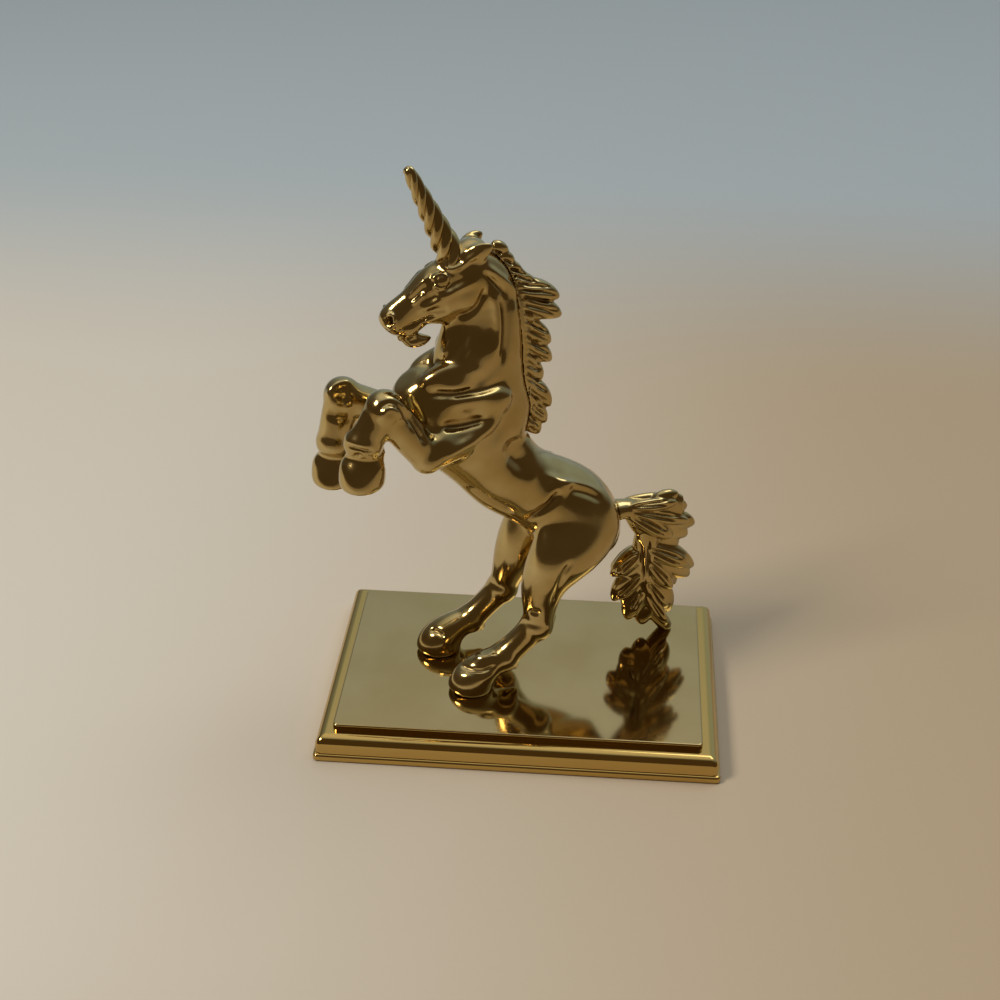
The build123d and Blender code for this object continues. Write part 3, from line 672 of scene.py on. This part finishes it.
def make_body(sizes, brass):
    """Trunk, neck, head and legs as one worked skin."""
    bm = joined_copy(BODY_NODES)
    add_body_muscles(bm)
    clay = Clay(remeshed(bm, sizes.body_skin))
    clay.relax(times=10)
    clay.soften(THIGH, THIGH_REACH, times=60)
    clay.soften(SHOULDER, SHOULDER_REACH, times=40)
    clay.soften(HORN_ROOT, HORN_ROOT_REACH, times=25)
    clay.relax(times=30, weight=clay.near(EAR_TIP, EAR_TIP_REACH) * EVEN_SHARE)
    for side in (-1, 1):
        clay.tilt(SHOULDER_PLANE * (1, side, 1), (0, side, 0), SHOULDER_PLANE_REACH, SHOULDER_TILT)
        clay.tilt(NECK_PLANE * (1, side, 1), (0, side, 0), NECK_PLANE_REACH, NECK_TILT)
    clay.relax(times=8)
    clay = Clay(refined(clay.mesh, HEAD_LOW, HEAD_HIGH))
    clay.relax(times=2)
    clay.learn_surface()
    carve_body(clay)
    clay.write()
    clay.relax(times=2)
    clay.mark_hollows()
    skin = thinned(clay.mesh, MOST_TRIANGLES)
    skin.shade_smooth()
    return add_piece("figure_body", skin, brass, BODY_NODES)


def between(first, second, share):
    """A spot of the picture part of the way between two others."""
    return first[0] + (second[0] - first[0]) * share, first[1] + (second[1] - first[1]) * share


def along(spots, share):
    """A spot of the picture part of the way along a line of spots."""
    place = share * (len(spots) - 1)
    step = min(int(place), len(spots) - 2)
    return between(spots[step], spots[step + 1], place - step)


# Where the hairs of the mane leave the crest and where they end
MANE_ROOTS = (
    (490, 251), (500, 262), (510, 275), (517, 288), (520, 297), (522, 307), (523, 318),
    (524, 330), (525, 348), (525, 366), (525, 384), (526, 404), (528, 424),
)
MANE_TIPS = (
    (503, 255), (522, 271), (538, 283), (558, 289), (561, 303), (558, 319), (549, 331),
    (550, 345), (551, 362), (545, 376), (550, 404), (545, 421), (538, 431),
)
MANE_STRANDS = 36
MANE_STEPS = 5

# Sway of every other hair in spots of the picture, and depth of every third groove in millimetres
MANE_WAVES = (-1.0, 2.5)
MANE_DEPTHS = (-0.6, -0.4, -0.4)

# How much darker the grooves of mane and tail are than the body's
LOCK_TARNISH = 1.6


def carve_mane(clay):
    """Fine wavy hairs that sweep back and down from the crest."""
    for i in range(MANE_STRANDS):
        share = i / (MANE_STRANDS - 1)
        root = along(MANE_ROOTS, share)
        tip = along(MANE_TIPS, share)
        wave = MANE_WAVES[i % len(MANE_WAVES)]
        spots = [between(root, tip, n / MANE_STEPS) for n in range(MANE_STEPS + 1)]
        spots = [(x, y + wave * math.sin(math.pi * n / MANE_STEPS)) for n, (x, y) in enumerate(spots)]
        clay.strands(spots, width=0.24, height=MANE_DEPTHS[i % len(MANE_DEPTHS)])


def make_mane(sizes, brass):
    """The comb of locks, with its hairs."""
    clay = Clay(remeshed(joined_copy(("mane",)), sizes.lock_skin))
    clay.relax(times=3)
    clay.learn_surface()
    carve_mane(clay)
    clay.write()
    clay.relax(times=1)
    clay.mark_hollows(share=LOCK_TARNISH)
    clay.mesh.shade_smooth()
    return add_piece("mane_locks", clay.mesh, brass, ("mane",))


# Leaves of the tail: spots of the picture at root and tip, then half the width and the lift in millimetres
TAIL_LEAVES = (
    ((626, 508), (677, 502), 1.3, 1.2),
    ((627, 511), (689, 521), 1.4, 1.4),
    ((628, 514), (672, 537), 1.7, 1.6),
    ((644, 547), (688, 565), 1.9, 1.3),
    ((645, 558), (672, 588), 1.6, 1.6),
    ((641, 552), (616, 576), 1.4, 1.3),
    ((642, 574), (618, 599), 1.4, 1.3),
    ((644, 586), (631, 614), 1.3, 1.2),
    ((646, 580), (666, 607), 1.5, 1.3),
    ((645, 592), (667, 624), 1.2, 1.5),
)
LEAF_THICKNESS = 1.1
LEAF_GROOVES = (-0.35, 0.35)
LEAF_GROOVE_FROM = 0.08
LEAF_GROOVE_TO = 0.9
LEAF_GROOVE_STEPS = 6
LEAF_GROOVE_SPREAD = 1.6
SPOTS_PER_MM = 5.0


def at_depth(spot, depth):
    """The point of the figure under a spot of the picture, at a depth from the figure's middle plane."""
    start, way = sight_line(*spot)
    return start + way * (depth - start[1]) / way[1]


def add_leaf(bm, root, tip, wide, lift):
    """A lens-shaped leaf on both faces of the tail."""
    first = at_depth(root, -lift)
    last = at_depth(tip, -lift)
    length_way = Vector((last - first) / 2)
    thick_way = Vector((0, LEAF_THICKNESS, 0))
    wide_way = thick_way.cross(length_way).normalized() * wide
    place = Matrix((length_way, wide_way, thick_way)).transposed().to_4x4()
    for side in (1, -1):
        middle = Vector((first + last) / 2 * (1, side, 1))
        whole = FIGURE_PLACE @ Matrix.Translation(middle) @ place
        bmesh.ops.create_icosphere(bm, subdivisions=4, radius=1.0, matrix=whole)


STEM_GROOVES = (
    ((637, 536), (641, 548), (643, 565), (644, 585)),
    ((649, 538), (649, 550), (648, 565), (647, 582)),
)


def carve_tail(clay):
    """Grooves down the stem, and others that spread along each leaf from its root."""
    for spots in STEM_GROOVES:
        clay.strands(spots, width=0.35, height=-0.55)
    for root, tip, wide, _ in TAIL_LEAVES:
        way = np.subtract(tip, root)
        across = np.array((way[1], -way[0])) / np.linalg.norm(way) * wide * SPOTS_PER_MM
        for side in LEAF_GROOVES:
            shares = np.linspace(LEAF_GROOVE_FROM, LEAF_GROOVE_TO, LEAF_GROOVE_STEPS)
            spots = [root + way * t + across * side * min(1.0, LEAF_GROOVE_SPREAD * t) for t in shares]
            clay.strands(spots, width=0.3, height=-0.5)


def make_tail(sizes, brass):
    """The plume, with leaves laid on both its faces."""
    bm = joined_copy(("tail",))
    for leaf in TAIL_LEAVES:
        add_leaf(bm, *leaf)
    clay = Clay(remeshed(bm, sizes.lock_skin))
    clay.relax(times=3)
    clay.learn_surface()
    carve_tail(clay)
    clay.write()
    clay.relax(times=1)
    clay.mark_hollows(share=LOCK_TARNISH)
    clay.mesh.shade_smooth()
    return add_piece("tail_plume", clay.mesh, brass, ("tail",))


# The horn: a rope of strands that lean forward and narrow to a blunt tip
HORN_LEAN = math.radians(24.0)
HORN_TURNS = 1.5
HORN_STRANDS = 4
HORN_LENGTH = 18.1
HORN_BASE = 5.5
HORN_TIP = 2.0
HORN_SUNK = 2.5
HORN_POINTS = 96
HORN_TIP_ROUND = 1.1
HORN_TIP_LEAST = 0.02
HORN_TARNISH = 0.3


def horn_radius(height):
    """The horn's radius at a height above its root, closed to a blunt round tip."""
    plain = (HORN_BASE + (HORN_TIP - HORN_BASE) * height / HORN_LENGTH) / 2
    to_tip = min((HORN_LENGTH - height) / HORN_TIP_ROUND, 1.0)
    return plain * math.sqrt(max(1 - (1 - to_tip) ** 2, HORN_TIP_LEAST))


def strand_reach(angle):
    """How far a rope of round strands reaches at an angle, as a share of its radius."""
    spacing = 2 * math.pi / HORN_STRANDS
    return math.cos((angle + spacing / 2) % spacing - spacing / 2)


def twisted_rope(step):
    """A rope of strands along z in millimetres, from below the root to the tip."""
    bm = bmesh.new()
    bmesh.ops.create_circle(bm, segments=HORN_POINTS, radius=1.0)
    for vert in bm.verts:
        vert.co *= strand_reach(math.atan2(vert.co.y, vert.co.x))
    rise = HORN_LENGTH + HORN_SUNK
    steps = round(rise / step)
    bmesh.ops.spin(
        bm,
        geom=bm.verts[:] + bm.edges[:],
        axis=(0, 0, 1),
        dvec=(0, 0, rise / steps),
        angle=2 * math.pi * HORN_TURNS * rise / HORN_LENGTH,
        steps=steps,
    )
    for vert in bm.verts:
        radius = horn_radius(vert.co.z - HORN_SUNK)
        vert.co.x *= radius
        vert.co.y *= radius
    bmesh.ops.holes_fill(bm, edges=bm.edges)
    bmesh.ops.recalc_face_normals(bm, faces=bm.faces)
    return bm


def make_horn(sizes, brass):
    """The twisted horn, ended where the plain horn of the model ends."""
    bm = twisted_rope(sizes.horn_step / MM)
    way = np.array((-math.sin(HORN_LEAN), 0, math.cos(HORN_LEAN)))
    rear = np.array((-math.cos(HORN_LEAN), 0, -math.sin(HORN_LEAN)))
    plain = to_figure([vert.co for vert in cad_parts["horn"].data.vertices])
    tip = plain[np.argmax(plain @ way)]
    for vert in bm.verts:
        across, deep, height = vert.co
        spot = tip + way * (height - HORN_SUNK - HORN_LENGTH) + rear * deep + np.array((0, across, 0))
        vert.co = to_model(spot)
    mesh = bpy.data.meshes.new("twisted_horn")
    bm.to_mesh(mesh)
    bm.free()
    clay = Clay(mesh)
    clay.mark_hollows(share=HORN_TARNISH)
    mesh.shade_smooth()
    return add_piece("twisted_horn", mesh, brass, ("horn",))


PLATE_EDGE_ANGLE = math.radians(25.0)
PLATE_FLAT_ANGLE = math.radians(0.5)
PLATE_FOOT = 0.0005

# An edge belongs to the plate's outline beyond this share of its half length, with the width drawn out to match
PLATE_RIM = 0.8
PLATE_STRETCH = 1.4


def on_rim(vert):
    """Whether a point of the plate lies near its outline."""
    return max(abs(vert.co.x), abs(vert.co.y) * PLATE_STRETCH) > PLATE_HIGH.x * PLATE_RIM


def make_plate(sizes, brass):
    """The plate with its upper edges broken by polishing."""
    bm = joined_copy(("base_plate",))
    bmesh.ops.dissolve_limit(bm, angle_limit=PLATE_FLAT_ANGLE, verts=bm.verts, edges=bm.edges)
    edges = [
        edge
        for edge in bm.edges
        if edge.is_manifold
        and edge.calc_face_angle() > PLATE_EDGE_ANGLE
        and min(vert.co.z for vert in edge.verts) > PLATE_LOW.z + PLATE_FOOT
        and on_rim(edge.verts[0])
    ]
    bmesh.ops.bevel(
        bm,
        geom=edges,
        offset=sizes.plate_edge,
        offset_type="OFFSET",
        segments=3,
        profile=0.5,
        affect="EDGES",
        material=-1,
        clamp_overlap=True,
    )
    mesh = bpy.data.meshes.new("moulded_plate")
    bm.to_mesh(mesh)
    bm.free()
    mesh.shade_smooth()
    mesh.set_sharp_from_angle(angle=PLATE_EDGE_ANGLE)
    mesh = worked(mesh, "WEIGHTED_NORMAL", keep_sharp=True)
    return add_piece("moulded_plate", mesh, brass, ("base_plate",))


def dress(node, material):
    """Gives a CAD node a finish."""
    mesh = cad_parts[node].data
    mesh.materials.clear()
    mesh.materials.append(material)


def link_mesh(name, bm):
    mesh = bpy.data.meshes.new(name)
    bm.to_mesh(mesh)
    bm.free()
    piece = bpy.data.objects.new(name, mesh)
    bpy.context.scene.collection.objects.link(piece)
    return piece


# Where the floor's colour turns, in metres from the plate's middle: painted light, paler to the left and darker
# and warmer to the right, a cooler colour far behind, and a painted shadow towards the camera
FLOOR_LEFT = -0.12
FLOOR_RIGHT = 0.1
FLOOR_FAR = (0.12, 0.3)
FLOOR_SHADOW_NEAR = (0.07, 0.19)


def floor_paper(colours):
    """The floor: painted light, paler to the left and darker and warmer to the right; cooler far behind; and a
    painted shadow darkening it towards the camera.
    """
    finish = new_finish("floor_paper")
    place = finish.add("ShaderNodeTexCoord", output=3)
    side = finish.add("ShaderNodeSeparateXYZ", inputs={0: place})
    back = finish.add("ShaderNodeSeparateXYZ", inputs={0: place}, output=1)
    grain = finish.noise(scale=900.0, detail=2.0)
    # Painted light: the floor is paler to the left and darker and warmer to the right, as light falls across it
    colour = finish.mix(side.within(FLOOR_LEFT, FLOOR_RIGHT), colours.floor, colours.warm_shaded_floor)
    colour = finish.mix(back.within(*FLOOR_FAR), colour, colours.far_floor)
    # Painted shadow: the floor darkens towards the camera, as if the camera's side shades it
    colour = finish.mix((0.0 - back).within(*FLOOR_SHADOW_NEAR), colour, colours.shadowed_near_floor)
    bump = finish.add("ShaderNodeBump", inputs={"Height": grain, "Strength": 0.1, "Distance": 0.0002})
    finish.surface(base_color=colour, roughness=0.8, normal=bump)
    return finish.owner


# How far the floor goes to the sides and the back, and towards the camera
FLOOR_REACH = 1.0
FLOOR_FRONT = 0.4


def make_floor(colours):
    bm = bmesh.new()
    middle = Matrix.Translation((0, FLOOR_REACH - FLOOR_FRONT, 0))
    bmesh.ops.create_grid(bm, x_segments=1, y_segments=1, size=FLOOR_REACH, matrix=middle)
    floor = link_mesh("floor", bm)
    floor.data.materials.append(floor_paper(colours))


# How light the room is on its left, and the directions between which it turns pale
LEFT_LIGHT = 0.2
LEFT_TURN = (-0.8, -0.1)
PALE_TURN = (0.15, 0.85)
CEILING_TURN = (0.72, 1.05)


def light_world(colours):
    """A room that is dark on the camera's side and to the left, and pale above and behind."""
    world = bpy.data.worlds.new("room")
    bpy.context.scene.world = world
    finish = Finish(world)
    way = finish.add("ShaderNodeTexCoord", output=0)
    right, back, up = (finish.add("ShaderNodeSeparateXYZ", inputs={0: way}, output=axis) for axis in range(3))
    lit = right.within(*LEFT_TURN) * (1 - LEFT_LIGHT) + LEFT_LIGHT
    pale = (back * 0.8 + up * 0.75).within(*PALE_TURN) * lit
    room = finish.mix(pale, colours.dark_room, colours.pale_room)
    room = finish.mix((up + back * 0.3).within(*CEILING_TURN), room, colours.ceiling)
    camera = finish.add("ShaderNodeLightPath", output=0)
    background = finish.tree.nodes["Background"]
    finish.feed(background, {"Color": finish.mix(camera, room, colours.far_floor)})


# The lamps: places and sizes in metres, powers in watts
KEY_PLACE = (-0.5, -0.25, 0.62)
KEY_SIZE = 0.2
KEY_POWER = 3.8
BACK_PLACE = (0.35, 0.3, 0.9)
BACK_SIZE = 0.5
BACK_POWER = 1.6
LAMP_AIM = Vector((0, 0, 0.05))


def add_lamp(name, place, size, power, colour):
    lamp = bpy.data.lights.new(name, "AREA")
    lamp.size = size
    lamp.energy = power
    lamp.color = colour
    piece = bpy.data.objects.new(name, lamp)
    bpy.context.scene.collection.objects.link(piece)
    piece.location = place
    piece.rotation_euler = (LAMP_AIM - Vector(place)).to_track_quat("-Z", "Y").to_euler()


def add_camera():
    camera = bpy.data.cameras.new("camera")
    camera.sensor_width = SENSOR_WIDTH
    camera.lens = SENSOR_WIDTH * CAMERA_FOCUS / IMAGE_SIZE
    camera.clip_start = NEAREST
    eye = bpy.data.objects.new("camera", camera)
    bpy.context.scene.collection.objects.link(eye)
    right, up, forward = camera_axes()
    turn = Matrix((right, up, -forward)).transposed().to_4x4()
    eye.matrix_world = Matrix.Translation(Vector(CAMERA_SPOT * MM)) @ turn
    bpy.context.scene.camera = eye


def length(name, description, default):
    return FloatProperty(name=name, description=description, default=default, unit="LENGTH", precision=5)


def paint(name, description, default):
    return FloatVectorProperty(
        name=name, description=description, default=default, subtype="COLOR", min=0.0, max=1.0
    )


def share(name, description, default):
    return FloatProperty(
        name=name, description=description, default=default, subtype="FACTOR", min=0.0, max=1.0
    )


class CastingSizes(bpy.types.PropertyGroup):
    """How finely the castings are sculpted."""

    body_skin: length("Body skin", "Width of the small faces that the body is sculpted in", 0.25 * MM)
    lock_skin: length("Lock skin", "Width of the small faces of the mane and the tail", 0.16 * MM)
    plate_edge: length("Plate edge", "How far the plate's upper edges are broken", 0.16 * MM)
    horn_step: length("Horn step", "Rise of the horn from one ring of its faces to the next", 0.13 * MM)


class FigureColours(bpy.types.PropertyGroup):
    """Colours and polish of the figurine."""

    brass: paint("Brass", "Polished brass of the figure", (0.46, 0.33, 0.125))
    pale_brass: paint("Worn brass", "Brass worn bright on the ridges", (0.55, 0.42, 0.19))
    tarnish: paint("Tarnish", "Dull brown in the creases", (0.12, 0.066, 0.02))
    plate: paint("Plate", "Brass of the plate", (0.45, 0.33, 0.14))
    pale_plate: paint("Pale plate", "Lighter clouds in the plate's brass", (0.5, 0.38, 0.18))
    # Painted reflection: the plate's sides get a warmer brass than the top, standing in for the floor they
    # reflect
    plate_side_painted_reflection: paint("Plate side", "Warmer brass of the plate's moulded sides", (0.56, 0.38, 0.12))
    felt: paint("Felt", "Felt under the plate", (0.03, 0.1, 0.06))
    pale_felt: paint("Felt pile", "Tips of the felt's pile", (0.07, 0.18, 0.11))
    polish: share("Casting roughness", "Roughness of the polished figure", 0.14)
    plate_polish: share("Plate roughness", "Roughness of the plate", 0.08)


class StageColours(bpy.types.PropertyGroup):
    """Colours of the floor and the room."""

    # Painted light: the floor to the left is painted paler and the floor to the right darker and warmer, as the
    # light falls
    floor: paint("Floor", "Floor to the figurine's left", (0.63, 0.58, 0.5))
    warm_shaded_floor: paint("Warm floor", "Floor to the figurine's right", (0.48, 0.37, 0.24))
    # Painted shadow: the floor towards the camera is painted darker, as if shaded from the camera's side
    shadowed_near_floor: paint("Near floor", "Floor towards the camera, below the picture", (0.34, 0.27, 0.19))
    far_floor: paint("Far floor", "Floor well behind the figurine", (0.44, 0.5, 0.53))
    dark_room: paint("Dark room", "Room on the camera's side", (0.085, 0.058, 0.03))
    pale_room: paint("Pale room", "Room behind", (0.36, 0.45, 0.52))
    ceiling: paint("Ceiling", "Ceiling overhead", (0.8, 0.79, 0.76))
    lamp: paint("Lamp", "Light of the main lamp", (1.0, 0.92, 0.8))
    back_lamp: paint("Back lamp", "Light of the lamp behind", (0.9, 0.96, 1.0))


class UNICORN_OT_body(bpy.types.Operator):
    """Sculpt the trunk, neck, head and legs"""

    bl_idname = "unicorn.body"
    bl_label = "Body"

    def execute(self, context):
        brass = casting_brass(context.scene.unicorn_colours)
        make_body(context.scene.unicorn_sizes, brass)
        return {"FINISHED"}


class UNICORN_OT_locks(bpy.types.Operator):
    """Sculpt the mane and the tail"""

    bl_idname = "unicorn.locks"
    bl_label = "Mane and tail"

    def execute(self, context):
        brass = bpy.data.materials["casting_brass"]
        make_mane(context.scene.unicorn_sizes, brass)
        make_tail(context.scene.unicorn_sizes, brass)
        return {"FINISHED"}


class UNICORN_OT_horn(bpy.types.Operator):
    """Sculpt the twisted horn"""

    bl_idname = "unicorn.horn"
    bl_label = "Horn"

    def execute(self, context):
        make_horn(context.scene.unicorn_sizes, bpy.data.materials["casting_brass"])
        return {"FINISHED"}


class UNICORN_OT_plate(bpy.types.Operator):
    """Finish the plate, its screws and the felt"""

    bl_idname = "unicorn.plate"
    bl_label = "Plate, screws and felt"

    def execute(self, context):
        colours = context.scene.unicorn_colours
        make_plate(context.scene.unicorn_sizes, plate_brass(colours))
        dress("hoof_screws", turned_brass(colours))
        dress("felt_pad", pad_felt(colours))
        return {"FINISHED"}


class UNICORN_OT_stage(bpy.types.Operator):
    """Set the floor, the lamps and the camera"""

    bl_idname = "unicorn.stage"
    bl_label = "Stage"

    def execute(self, context):
        colours = context.scene.unicorn_stage
        context.scene.view_settings.view_transform = "Standard"
        make_floor(colours)
        light_world(colours)
        add_lamp("key", KEY_PLACE, KEY_SIZE, KEY_POWER, colours.lamp)
        add_lamp("back", BACK_PLACE, BACK_SIZE, BACK_POWER, colours.back_lamp)
        add_camera()
        return {"FINISHED"}


OPERATORS = (UNICORN_OT_body, UNICORN_OT_locks, UNICORN_OT_horn, UNICORN_OT_plate, UNICORN_OT_stage)
SETTINGS = {"unicorn_sizes": CastingSizes, "unicorn_colours": FigureColours, "unicorn_stage": StageColours}


class UNICORN_PT_panel(bpy.types.Panel):
    """The figurine's steps and settings"""

    bl_idname = "UNICORN_PT_panel"
    bl_label = "Unicorn Figurine"
    bl_space_type = "VIEW_3D"
    bl_region_type = "UI"
    bl_category = "Unicorn"

    def draw(self, context):
        for operator in OPERATORS:
            self.layout.operator(operator.bl_idname)
        for name, group in SETTINGS.items():
            box = self.layout.box()
            for setting in group.__annotations__:
                box.prop(getattr(context.scene, name), setting)


def register():
    for cls in (*SETTINGS.values(), *OPERATORS, UNICORN_PT_panel):
        bpy.utils.register_class(cls)
    for name, group in SETTINGS.items():
        setattr(bpy.types.Scene, name, PointerProperty(type=group))


def unregister():
    for name in SETTINGS:
        delattr(bpy.types.Scene, name)
    for cls in (UNICORN_PT_panel, *reversed(OPERATORS), *reversed(SETTINGS.values())):
        bpy.utils.unregister_class(cls)


def main():
    register()
    bpy.ops.unicorn.body()
    bpy.ops.unicorn.locks()
    bpy.ops.unicorn.horn()
    bpy.ops.unicorn.plate()
    bpy.ops.unicorn.stage()


if __name__ == "__main__":
    main()
